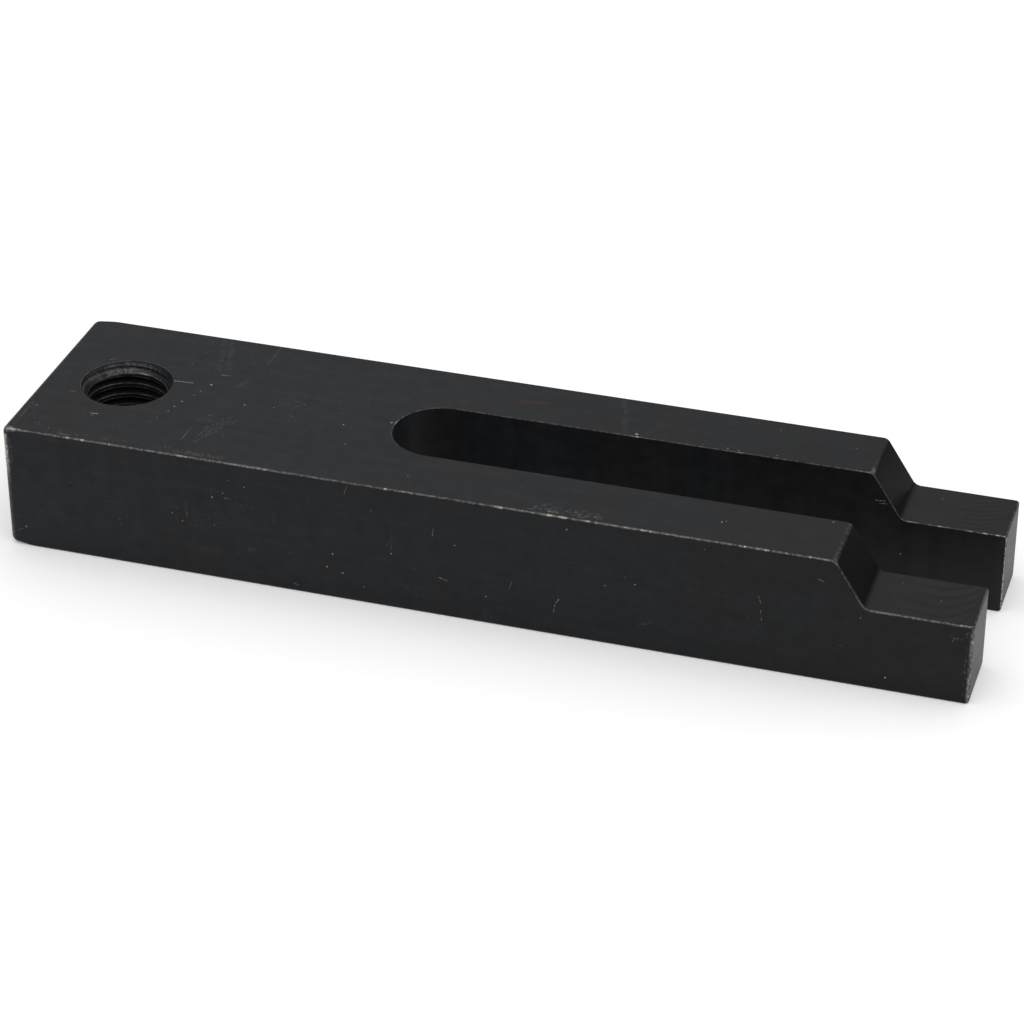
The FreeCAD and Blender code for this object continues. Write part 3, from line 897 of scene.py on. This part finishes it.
def add_top_and_bottom(shell, outer, slots, bends, rims):
    """The top, the two steps and the underside."""
    def slot_run(side, low, high):
        return slots[side]["to_cap"][part(slots[side]["u"], low, high)]

    flat = part(outer["u"], HEEL_X, U_CREST)
    loop = joined(
        outer["top_cap"][flat],
        bends[FAR_SIDE][0],
        slot_run(FAR_SIDE, HEEL_X, U_CREST)[::-1],
        slot_run(NEAR_SIDE, HEEL_X, U_CREST),
        bends[NEAR_SIDE][0][::-1],
    )
    top_marks = marks_from(TOP_DOTS, TOP_SCRATCHES, TOP_SCUFFS, TOP_SMUDGES, TOP_SMEARS)
    add_plane(shell, [loop, rims["top"]], (0, 0, 1), top_marks)
    for side in (NEAR_SIDE, FAR_SIDE):
        tine = part(side * outer["s"], 0, S_MOUTH)
        tine = tine[part(outer["u"][tine], U_STEP, U_NOSE)]
        tine = tine[np.argsort(side * outer["s"][tine])]
        step = joined(
            outer["top_cap"][tine],
            slot_run(side, U_STEP, U_NOSE)[::-1],
            bends[side][-1][::-1],
        )
        add_plane(shell, [step], (0, 0, 1), marks_from(STEP_DOTS[side]), milled=1.0)
    under = []
    for side in (FAR_SIDE, NEAR_SIDE):
        run = slots[side]["to_cap"][slots[side]["ends"][3]:]
        under.append(run if side == FAR_SIDE else run[::-1])
    add_plane(shell, [joined(outer["low_cap"], *under), rims["bottom"]], (0, 0, -1))


def hole_radius(z, phase):
    """The hole's radius at a height and a phase of the thread: the wider of countersink and thread."""
    from_face = np.minimum(z, TOP_Z - z)
    sink = COUNTERSINK_RADIUS - from_face * (COUNTERSINK_RADIUS - BORE_RADIUS) / COUNTERSINK_DEPTH
    rise = np.clip((phase - LAND) / FLANK, 0, 1)
    rise = rise - np.clip((phase - LAND - FLANK - ROOT_FLAT) / FLANK, 0, 1)
    return np.maximum(sink, BORE_RADIUS + rise * (MAJOR_RADIUS - BORE_RADIUS))


def add_hole(shell):
    """The threaded hole with its countersinks and rounded rims. Gives the two rims' loops."""
    turn = np.linspace(0, 2 * math.pi, HOLE_COLUMNS + 1)
    phases = np.concatenate([
        spread(0, LAND, LAND / LAND_ROWS),
        spread(LAND, LAND + FLANK, FLANK / FLANK_ROWS),
        spread(LAND + FLANK, PITCH - FLANK, ROOT_FLAT / ROOT_ROWS),
        spread(PITCH - FLANK, PITCH, FLANK / FLANK_ROWS),
    ])
    turns = np.arange(-1, math.ceil(TOP_Z / PITCH) + 1)
    base = (turns[:, None] * PITCH + phases).reshape(-1)
    phase = np.tile(phases, len(turns))[:, None]
    z = base[:, None] + THREAD_SHIFT + PITCH * turn / (2 * math.pi)
    z = np.clip(z, RIM_BAND, TOP_Z - RIM_BAND)
    radius = hole_radius(z, phase)
    outward = np.stack([np.cos(turn), np.sin(turn)], 1)
    points = np.concatenate([radius[:, :, None] * outward[None], z[:, :, None]], 2)
    points[:, :, 0] += HOLE_X
    rise = np.diff(z, axis=0)
    sink_slope = (COUNTERSINK_RADIUS - BORE_RADIUS) / COUNTERSINK_DEPTH * np.sign(z[1:] - TOP_Z / 2)
    slope = np.where(rise > FLAT_GAP, np.diff(radius, axis=0) / np.maximum(rise, FLAT_GAP), sink_slope)
    normals = np.concatenate([np.broadcast_to(-outward, (*slope.shape, 2)), slope[:, :, None]], 2)
    normals /= np.linalg.norm(normals, axis=2)[:, :, None]
    rows, columns = z.shape
    faces = strip_faces(rows, columns)
    left = np.arange((rows - 1) * (columns - 1))
    left = left + left // (columns - 1)
    corner_normals = normals.reshape(-1, 3)[
        np.concatenate([np.stack([left, left + 1, left + 1], 1), np.stack([left, left + 1, left], 1)])
    ]
    wear, dark = hole_wear_glints_and_shade(z, phase, turn, radius)
    shell.add(points.reshape(-1, 3), faces, corner_normals, wear=wear.reshape(-1), dark=dark.reshape(-1))
    return {"top": add_rim(shell, outward, 1), "bottom": add_rim(shell, outward, -1)}


def hole_wear_glints_and_shade(z, phase, turn, radius):
    """How worn and how dark the hole is: painted shade in the bore and black grooves, wear with painted
    glints along the thread's edges, and mottled countersinks painted lighter on their far side.
    """
    row = LAND / LAND_ROWS
    flank_row = FLANK / FLANK_ROWS
    places = [0, row, LAND - row, LAND, LAND + flank_row, PITCH - flank_row, PITCH]
    # wear along the thread's edges, with painted glints that are strongest at two angles
    thread = np.interp(phase, places, [1, 0, 0, THREAD_EDGE, 0, 0, 1]) * THREAD_WEAR_AND_GLINT
    thread = thread * np.interp(np.degrees(turn), THREAD_GLINT_ANGLES, THREAD_GLINT_SHARES)
    from_face = np.minimum(z, TOP_Z - z)
    cone = 1 - blend(from_face, CONE_END[0] * COUNTERSINK_DEPTH, CONE_END[1] * COUNTERSINK_DEPTH)
    blotches = np.append(hole_random.random(CONE_BLOTCHES), 0.5)
    blotches[0] = blotches[-1]
    around_cone = np.interp(turn, np.linspace(0, 2 * math.pi, CONE_BLOTCHES + 1), blotches)
    rings = hole_random.random(CONE_RINGS)
    down_cone = np.interp(from_face, np.linspace(0, COUNTERSINK_DEPTH, CONE_RINGS), rings)
    mottled = np.clip(around_cone + down_cone - 0.5, 0, 1)
    # the countersinks' wear, mottled, and painted lighter on their far side as a highlight
    share = np.interp(np.degrees(turn), CONE_LIGHT_ANGLES, CONE_LIGHT_SHARES) * (0.5 + mottled)
    groove = blend(phase, LAND, LAND + flank_row) * (1 - blend(phase, PITCH - flank_row, PITCH))
    groove = groove * (radius > BORE_RADIUS + GROOVE_REACH)
    groove = groove * blend(from_face, GROOVE_START * COUNTERSINK_DEPTH, COUNTERSINK_DEPTH)
    ring = np.exp(-(((from_face / COUNTERSINK_DEPTH - 1) / RING_WIDTH) ** 2))
    ring = ring * (radius < BORE_RADIUS + RING_REACH)
    wear = thread * (1 - cone) + cone * share * CONE_WEAR_AND_HIGHLIGHT + ring * RING_WEAR * (RING_LEAST + share)
    # painted shade: darker in the bore, black in the grooves, and in the countersinks where they are less
    # worn
    dark = HOLE_SHADE * (1 - cone) + (GROOVE_SHADE - HOLE_SHADE) * groove + CONE_SHADE * cone * (1 - mottled)
    return wear, dark


def add_rim(shell, outward, way):
    """The rim of a countersink: the last of its cone, and a small rounding up to the face."""
    face_z = TOP_Z if way > 0 else 0.0
    lean = math.atan2(COUNTERSINK_RADIUS - BORE_RADIUS, COUNTERSINK_DEPTH)
    t = np.linspace(0, 1, RIM_STEPS + 1)
    start = RIM_ROUNDING * np.array([-math.sin(lean), -math.cos(lean)])
    path = np.outer((1 - t) ** 2, start) + np.outer(t ** 2, [RIM_ROUNDING, 0.0])
    angle = lean * (1 - t) + QUARTER * t
    cone_start = RIM_BAND * np.array([-math.tan(lean), -1.0])
    path = np.concatenate([[cone_start], path])
    angle = np.concatenate([[lean], angle])
    radius = COUNTERSINK_RADIUS + path[:, 0]
    z = face_z + way * path[:, 1]
    rows = len(path)
    columns = len(outward)
    points = np.empty((rows, columns, 3))
    points[:, :, :2] = radius[:, None, None] * outward[None]
    points[:, :, 0] += HOLE_X
    points[:, :, 2] = z[:, None]
    normals = np.empty_like(points)
    normals[:, :, :2] = -np.cos(angle)[:, None, None] * outward[None]
    normals[:, :, 2] = way * np.sin(angle)[:, None]
    faces = strip_faces(rows, columns)
    # wear along the rim's rounding, which also paints its highlight line
    ridge = np.concatenate([[0.0], np.sin(t * math.pi)])
    wear = np.repeat(ridge * RIM_WEAR, columns)
    shell.add(points.reshape(-1, 3), faces, normals.reshape(-1, 3)[faces], wear=wear)
    return points[-1][:-1]


def make_clamp():
    """The whole clamp as one closed mesh."""
    shell = Shell()
    outer = add_outer_edges(shell)
    slots = {side: add_slot_edges(shell, side) for side in (NEAR_SIDE, FAR_SIDE)}
    bends = {side: add_bend(shell, outer, slots[side], side) for side in slots}
    rims = add_hole(shell)
    add_sides(shell, outer, slots)
    add_slot_walls(shell, slots)
    add_top_and_bottom(shell, outer, slots, bends, rims)
    return shell.build("clamp_bar")


def add_node(tree, kind, inputs=None, **settings):
    """A shader node with its settings, and its inputs linked or set."""
    made = tree.nodes.new(kind)
    for name, value in settings.items():
        setattr(made, name, value)
    for key, value in (inputs or {}).items():
        if isinstance(value, bpy.types.NodeSocket):
            tree.links.new(value, made.inputs[key])
        else:
            made.inputs[key].default_value = value
    return made


def calculate(tree, operation, first, second=0.0, third=0.0, clamp=False):
    """A math node's result."""
    inputs = {0: first, 1: second, 2: third}
    return add_node(tree, "ShaderNodeMath", inputs, operation=operation, use_clamp=clamp).outputs[0]


def scaled(tree, value, low, high, to_low=0.0, to_high=1.0):
    """A value mapped from one range to another, smoothly and within it."""
    inputs = {"Value": value, "From Min": low, "From Max": high, "To Min": to_low, "To Max": to_high}
    return add_node(tree, "ShaderNodeMapRange", inputs, interpolation_type="SMOOTHSTEP").outputs[0]


def noise(tree, place, scale, detail=2.0, roughness=0.5, distortion=0.0):
    """A noise's value, whose mean is about a half."""
    inputs = {"Vector": place, "Scale": scale, "Detail": detail, "Roughness": roughness,
              "Distortion": distortion}
    return add_node(tree, "ShaderNodeTexNoise", inputs).outputs["Fac"]


def stretched(tree, place, scale, location=(0.0, 0.0, 0.0)):
    """Places with each axis scaled, for patterns that are longer one way."""
    inputs = {"Vector": place, "Scale": scale, "Location": location}
    return add_node(tree, "ShaderNodeMapping", inputs).outputs[0]


def mixed(tree, share, first, second):
    """A colour between two others."""
    made = add_node(tree, "ShaderNodeMix", data_type="RGBA")
    for socket, value in ((made.inputs[0], share), (made.inputs[6], first), (made.inputs[7], second)):
        if isinstance(value, bpy.types.NodeSocket):
            tree.links.new(value, socket)
        elif isinstance(value, tuple):
            socket.default_value = (*value, 1.0)
        else:
            socket.default_value = value
    return made.outputs[2]


def stored(tree, name):
    """A value that the mesh stores at each point."""
    return add_node(tree, "ShaderNodeAttribute", attribute_name=name).outputs["Fac"]


def new_material(name):
    """A material with a principled shader, and its tree and shader."""
    material = bpy.data.materials.new(name)
    material.use_nodes = True
    return material, material.node_tree, material.node_tree.nodes["Principled BSDF"]


OXIDE = (0.0126, 0.0132, 0.0145)
OXIDE_BLUE = (0.0113, 0.0133, 0.0168)
# the near black of the painted shade
SHADE_BLACK = (0.0026, 0.0025, 0.0021)
# bare steel, also the colour of the painted glints along the edges and the thread
BARE_STEEL_AND_GLINT = (0.43, 0.40, 0.37)
STAIN_RED = (0.044, 0.013, 0.012)

# the noises in the finish: scale, detail and roughness of each
CLOUD = (45.0, 3.0)
MOTTLE = (280.0, 4.0, 0.65)
STREAKS = (300.0, 3.0)
BRUSHED = (700.0, 3.0)
GRAIN = (1400.0, 3.0, 0.6)
WAVER = (250.0,)
FINE_CHIPS = (1300.0, 4.0, 0.65)
BROAD_CHIPS = (90.0, 2.0)
BROKEN_MARKS = (2200.0, 2.0, 0.6)
UPRIGHT_STRETCH = (1.0, 1.0, 0.07)
LENGTHWISE_STRETCH = (0.06, 1.0, 1.0)

# how much each of them, and the cutter's arcs, change the tone, and the arcs' share of the bump
MOTTLE_TONE = 0.7
STREAKS_TONE = 0.2
BRUSHED_TONE = 0.35
MARKS_TONE = 0.9
ARCS_TONE = -0.55
ARCS_HEIGHT = -0.7

# the gloss: the plain roughness, and what the grain, the mottle, the painted shade and its darkest
# parts add to it
ROUGH_PLAIN = 0.29
ROUGH_GRAIN = 0.16
ROUGH_MOTTLE = 0.10
ROUGH_SHADED = -0.14
ROUGH_DEEP_SHADED = 0.45
SPECULAR = 0.17
METAL_SHARE = 0.7
THIN_SHARE = 0.28
BUMP_STRENGTH = 0.25
BUMP_DISTANCE = 0.04 * MM

# the oxide gets darker towards the nose, and less blue
FADE_START = -60.0 * MM
FADE_END = 100.0 * MM
FADE_SHARE = 0.72
BLUE_END = 60.0 * MM
BLUE_SHARE = 0.3

# the cutter's arcs on the near step and on the far one: their middle, spacing and start
CUTTER_RADIUS = 8.5 * MM
CUTTER_X = (92.2 * MM, 92.8 * MM)
CUTTER_FEED = (3.45 * MM, 1.73 * MM)
CUTTER_START = (0.145, 0.72)


def by_side(tree, y, near, far):
    """One value on the near side and another on the far side."""
    return calculate(tree, "MULTIPLY_ADD", calculate(tree, "GREATER_THAN", y, 0.0), far - near, near)


def cutter_arcs(tree, place, x, y):
    """The arcs that the cutter left on the steps: 1 along each and 0 between them."""
    across = calculate(tree, "SUBTRACT", x, by_side(tree, y, *CUTTER_X))
    squared = calculate(tree, "MULTIPLY", across, across)
    reach = calculate(tree, "SUBTRACT", CUTTER_RADIUS ** 2, squared)
    reach = calculate(tree, "SQRT", calculate(tree, "MAXIMUM", reach, 0.0))
    turns = calculate(tree, "DIVIDE", calculate(tree, "ADD", y, reach), by_side(tree, y, *CUTTER_FEED))
    turns = calculate(tree, "ADD", turns, by_side(tree, y, *CUTTER_START))
    turns = calculate(tree, "MULTIPLY_ADD", noise(tree, place, *WAVER), 0.25, turns)
    wave = calculate(tree, "COSINE", calculate(tree, "MULTIPLY", turns, 2 * math.pi))
    lines = calculate(tree, "POWER", calculate(tree, "MULTIPLY_ADD", wave, 0.5, 0.5), 3.0)
    side = scaled(tree, across, -0.95 * CUTTER_RADIUS, 0.3 * CUTTER_RADIUS)
    return calculate(tree, "MULTIPLY", lines, side)


def around(tree, value, reach):
    """A factor near 1 from a noise's value, this far either way."""
    return calculate(tree, "MULTIPLY_ADD", value, 2 * reach, 1 - reach)


def toned(tree, colour, factor):
    """A colour made darker or lighter."""
    inputs = {0: colour, "Scale": factor}
    return add_node(tree, "ShaderNodeVectorMath", inputs, operation="SCALE").outputs[0]


def rubbed_off_and_glints(tree, place, streaks):
    """Where the oxide is gone: along the edges, in patches, and in the marks. Along the edges and the
    thread this bare steel also stands for painted glints.
    """
    wear = stored(tree, "wear")
    fine = scaled(tree, noise(tree, place, *FINE_CHIPS), 0.35, 0.65, 0.4, 1.5)
    broad = calculate(tree, "MULTIPLY_ADD", noise(tree, place, *BROAD_CHIPS), 1.2, -0.6)
    patches = calculate(tree, "MULTIPLY", wear, calculate(tree, "ADD", fine, broad))
    chips = scaled(tree, patches, 0.45, 1.2)
    thin = calculate(tree, "MULTIPLY", scaled(tree, patches, 0.0, 0.6), THIN_SHARE)
    rubbed = calculate(tree, "MAXIMUM", chips, thin)
    broken = scaled(tree, noise(tree, place, *BROKEN_MARKS), 0.42, 0.62, 0.1, 2.0)
    mark = stored(tree, "mark")
    faint = scaled(tree, mark, 0.010, 0.025, 1.0, 0.0)
    whole = calculate(tree, "MAXIMUM", scaled(tree, mark, 0.12, 0.35), faint)
    marks = calculate(tree, "MULTIPLY", mark, calculate(tree, "MAXIMUM", broken, whole))
    marks = calculate(tree, "MULTIPLY", marks, around(tree, streaks, MARKS_TONE))
    return calculate(tree, "MAXIMUM", rubbed, marks)


def black_oxide():
    """Satin black oxide over milled steel, rubbed off along the edges and in scratches, with painted glints
    along the edges and the thread and painted shade on the slopes and in the hole.
    """
    material, tree, shader = new_material(FINISH)
    place = add_node(tree, "ShaderNodeTexCoord").outputs["Object"]
    x, y, _ = add_node(tree, "ShaderNodeSeparateXYZ", {0: place}).outputs
    cloud = noise(tree, place, *CLOUD)
    mottle = noise(tree, place, *MOTTLE)
    streaks = noise(tree, stretched(tree, place, UPRIGHT_STRETCH), *STREAKS)
    brushed = noise(tree, stretched(tree, place, LENGTHWISE_STRETCH), *BRUSHED)
    grain = noise(tree, place, *GRAIN)
    arcs = calculate(tree, "MULTIPLY", cutter_arcs(tree, place, x, y), stored(tree, "milled"))

    tone = scaled(tree, x, FADE_START, FADE_END, 1.0, FADE_SHARE)
    for pattern, reach in ((mottle, MOTTLE_TONE), (streaks, STREAKS_TONE), (brushed, BRUSHED_TONE)):
        tone = calculate(tree, "MULTIPLY", tone, around(tree, pattern, reach))
    tone = calculate(tree, "MULTIPLY", tone, calculate(tree, "MULTIPLY_ADD", arcs, ARCS_TONE, 1.0))
    blue = scaled(tree, x, 0.0, BLUE_END, 1.0, BLUE_SHARE)
    blue = calculate(tree, "MULTIPLY", scaled(tree, cloud, 0.3, 0.6), blue)
    colour = mixed(tree, blue, OXIDE, OXIDE_BLUE)
    # painted shade: the slopes, the hole and its grooves darkened towards near black
    dark = stored(tree, "dark")
    shade_share = calculate(tree, "MULTIPLY", dark, scaled(tree, mottle, 0.3, 0.7, 0.7, 1.1))
    colour = mixed(tree, shade_share, colour, SHADE_BLACK)
    colour = mixed(tree, stored(tree, "stain"), colour, STAIN_RED)
    # bare steel where the oxide is rubbed off, which along the edges and the thread is also a painted glint
    bare_and_glint = rubbed_off_and_glints(tree, place, streaks)
    colour = mixed(tree, bare_and_glint, toned(tree, colour, tone), BARE_STEEL_AND_GLINT)
    tree.links.new(colour, shader.inputs["Base Color"])
    tree.links.new(calculate(tree, "MULTIPLY", bare_and_glint, METAL_SHARE), shader.inputs["Metallic"])
    rough = ROUGH_PLAIN
    for pattern, share in ((grain, ROUGH_GRAIN), (mottle, ROUGH_MOTTLE), (dark, ROUGH_SHADED)):
        rough = calculate(tree, "MULTIPLY_ADD", pattern, share, rough)
    rough = calculate(tree, "ADD", rough, scaled(tree, dark, 0.75, 1.0, 0.0, ROUGH_DEEP_SHADED))
    tree.links.new(rough, shader.inputs["Roughness"])
    shader.inputs["Specular IOR Level"].default_value = SPECULAR
    height = calculate(tree, "MULTIPLY_ADD", arcs, ARCS_HEIGHT, grain)
    bumps = {"Height": height, "Strength": BUMP_STRENGTH, "Distance": BUMP_DISTANCE}
    bump = add_node(tree, "ShaderNodeBump", bumps)
    tree.links.new(bump.outputs[0], shader.inputs["Normal"])
    return material


FLOOR_SIZE = 4.0
FLOOR_WHITE = (0.9, 0.9, 0.9)
FLOOR_DIM = (0.06, 0.06, 0.06)
FLOOR_OVAL = (0.7, 1.0, 1.0)
FLOOR_SHIFT = (0.02, 0.0, 0.0)
FLOOR_NEAR = 0.10
FLOOR_FAR = 0.20
FLOOR_GLOW = 0.20


def make_floor():
    """A plain white floor that keeps the clamp's shadow, and is dim far off to all but the camera."""
    mesh = bpy.data.meshes.new("floor")
    half = FLOOR_SIZE / 2
    corners = [(-half, -half, 0), (half, -half, 0), (half, half, 0), (-half, half, 0)]
    mesh.from_pydata(corners, [], [(0, 1, 2, 3)])
    floor = bpy.data.objects.new("floor", mesh)
    bpy.context.scene.collection.objects.link(floor)
    material, tree, shader = new_material("floor_white")
    place = add_node(tree, "ShaderNodeTexCoord").outputs["Object"]
    oval = stretched(tree, place, FLOOR_OVAL, FLOOR_SHIFT)
    away = add_node(tree, "ShaderNodeVectorMath", {0: oval}, operation="LENGTH").outputs["Value"]
    far = scaled(tree, away, FLOOR_NEAR, FLOOR_FAR)
    tree.links.new(mixed(tree, far, FLOOR_WHITE, FLOOR_DIM), shader.inputs["Base Color"])
    shader.inputs["Roughness"].default_value = 0.9
    shader.inputs["Specular IOR Level"].default_value = 0.0
    path = add_node(tree, "ShaderNodeLightPath")
    seen = calculate(tree, "MAXIMUM", path.outputs["Is Camera Ray"], path.outputs["Is Glossy Ray"])
    glow = calculate(tree, "MULTIPLY", seen, scaled(tree, far, 0.0, 1.0, FLOOR_GLOW, 0.0))
    glow = calculate(tree, "MULTIPLY_ADD", path.outputs["Is Camera Ray"], far, glow)
    shader.inputs["Emission Color"].default_value = (1.0, 1.0, 1.0, 1.0)
    tree.links.new(glow, shader.inputs["Emission Strength"])
    mesh.materials.append(material)


SKY_WHITE = 1.0
HORIZON_STRENGTH = 0.05
UPPER_STRENGTH = 0.90
HORIZON_TOP = 0.70


def light_world():
    """A soft white surround that is dim at the horizon, seen as plain white."""
    world = bpy.data.worlds.new("surround")
    bpy.context.scene.world = world
    world.use_nodes = True
    tree = world.node_tree
    background = tree.nodes["Background"]
    background.inputs["Color"].default_value = (1.0, 1.0, 1.0, 1.0)
    way = add_node(tree, "ShaderNodeTexCoord").outputs["Generated"]
    height = add_node(tree, "ShaderNodeSeparateXYZ", {0: way}).outputs[2]
    strength = scaled(tree, height, 0.0, HORIZON_TOP, HORIZON_STRENGTH, UPPER_STRENGTH)
    seen = add_node(tree, "ShaderNodeLightPath").outputs["Is Camera Ray"]
    strength = scaled(tree, seen, 0.0, 1.0, strength, SKY_WHITE)
    tree.links.new(strength, background.inputs["Strength"])


def add_softbox(name, at, target, size, power):
    """A square area lamp that points at a target."""
    lamp = bpy.data.lights.new(name, "AREA")
    lamp.shape = "SQUARE"
    lamp.size = size
    lamp.energy = power
    holder = bpy.data.objects.new(name, lamp)
    bpy.context.scene.collection.objects.link(holder)
    holder.location = at
    holder.rotation_euler = (Vector(target) - Vector(at)).to_track_quat("-Z", "Y").to_euler()


# the one lamp, above the clamp and pointed at it
SOFTBOX_AT = (0.1, -0.1, 0.9)
SOFTBOX_SIZE = 0.9
SOFTBOX_POWER = 2.2

# the camera, from the photograph's perspective
CAMERA_AT = Vector((179.8, -578.6, 380.5)) * MM
CAMERA_TURN = math.radians(17.188)
CAMERA_DOWN = math.radians(31.354)
CAMERA_LENS = 120.8
CAMERA_SENSOR = 36.0


def place_camera():
    """The photograph's view."""
    camera = bpy.data.cameras.new("camera")
    camera.lens = CAMERA_LENS
    camera.sensor_width = CAMERA_SENSOR
    holder = bpy.data.objects.new("camera", camera)
    holder.location = CAMERA_AT
    holder.rotation_euler = (QUARTER - CAMERA_DOWN, 0.0, CAMERA_TURN)
    bpy.context.scene.collection.objects.link(holder)
    bpy.context.scene.camera = holder


place_camera()
make_floor()
light_world()
add_softbox("overhead", SOFTBOX_AT, (0.0, 0.0, 0.0), SOFTBOX_SIZE, SOFTBOX_POWER)
bpy.context.scene.view_settings.view_transform = "Standard"

clamp = make_clamp()
clamp.data.materials.append(black_oxide())
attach(clamp, "root")
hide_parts(NODE)
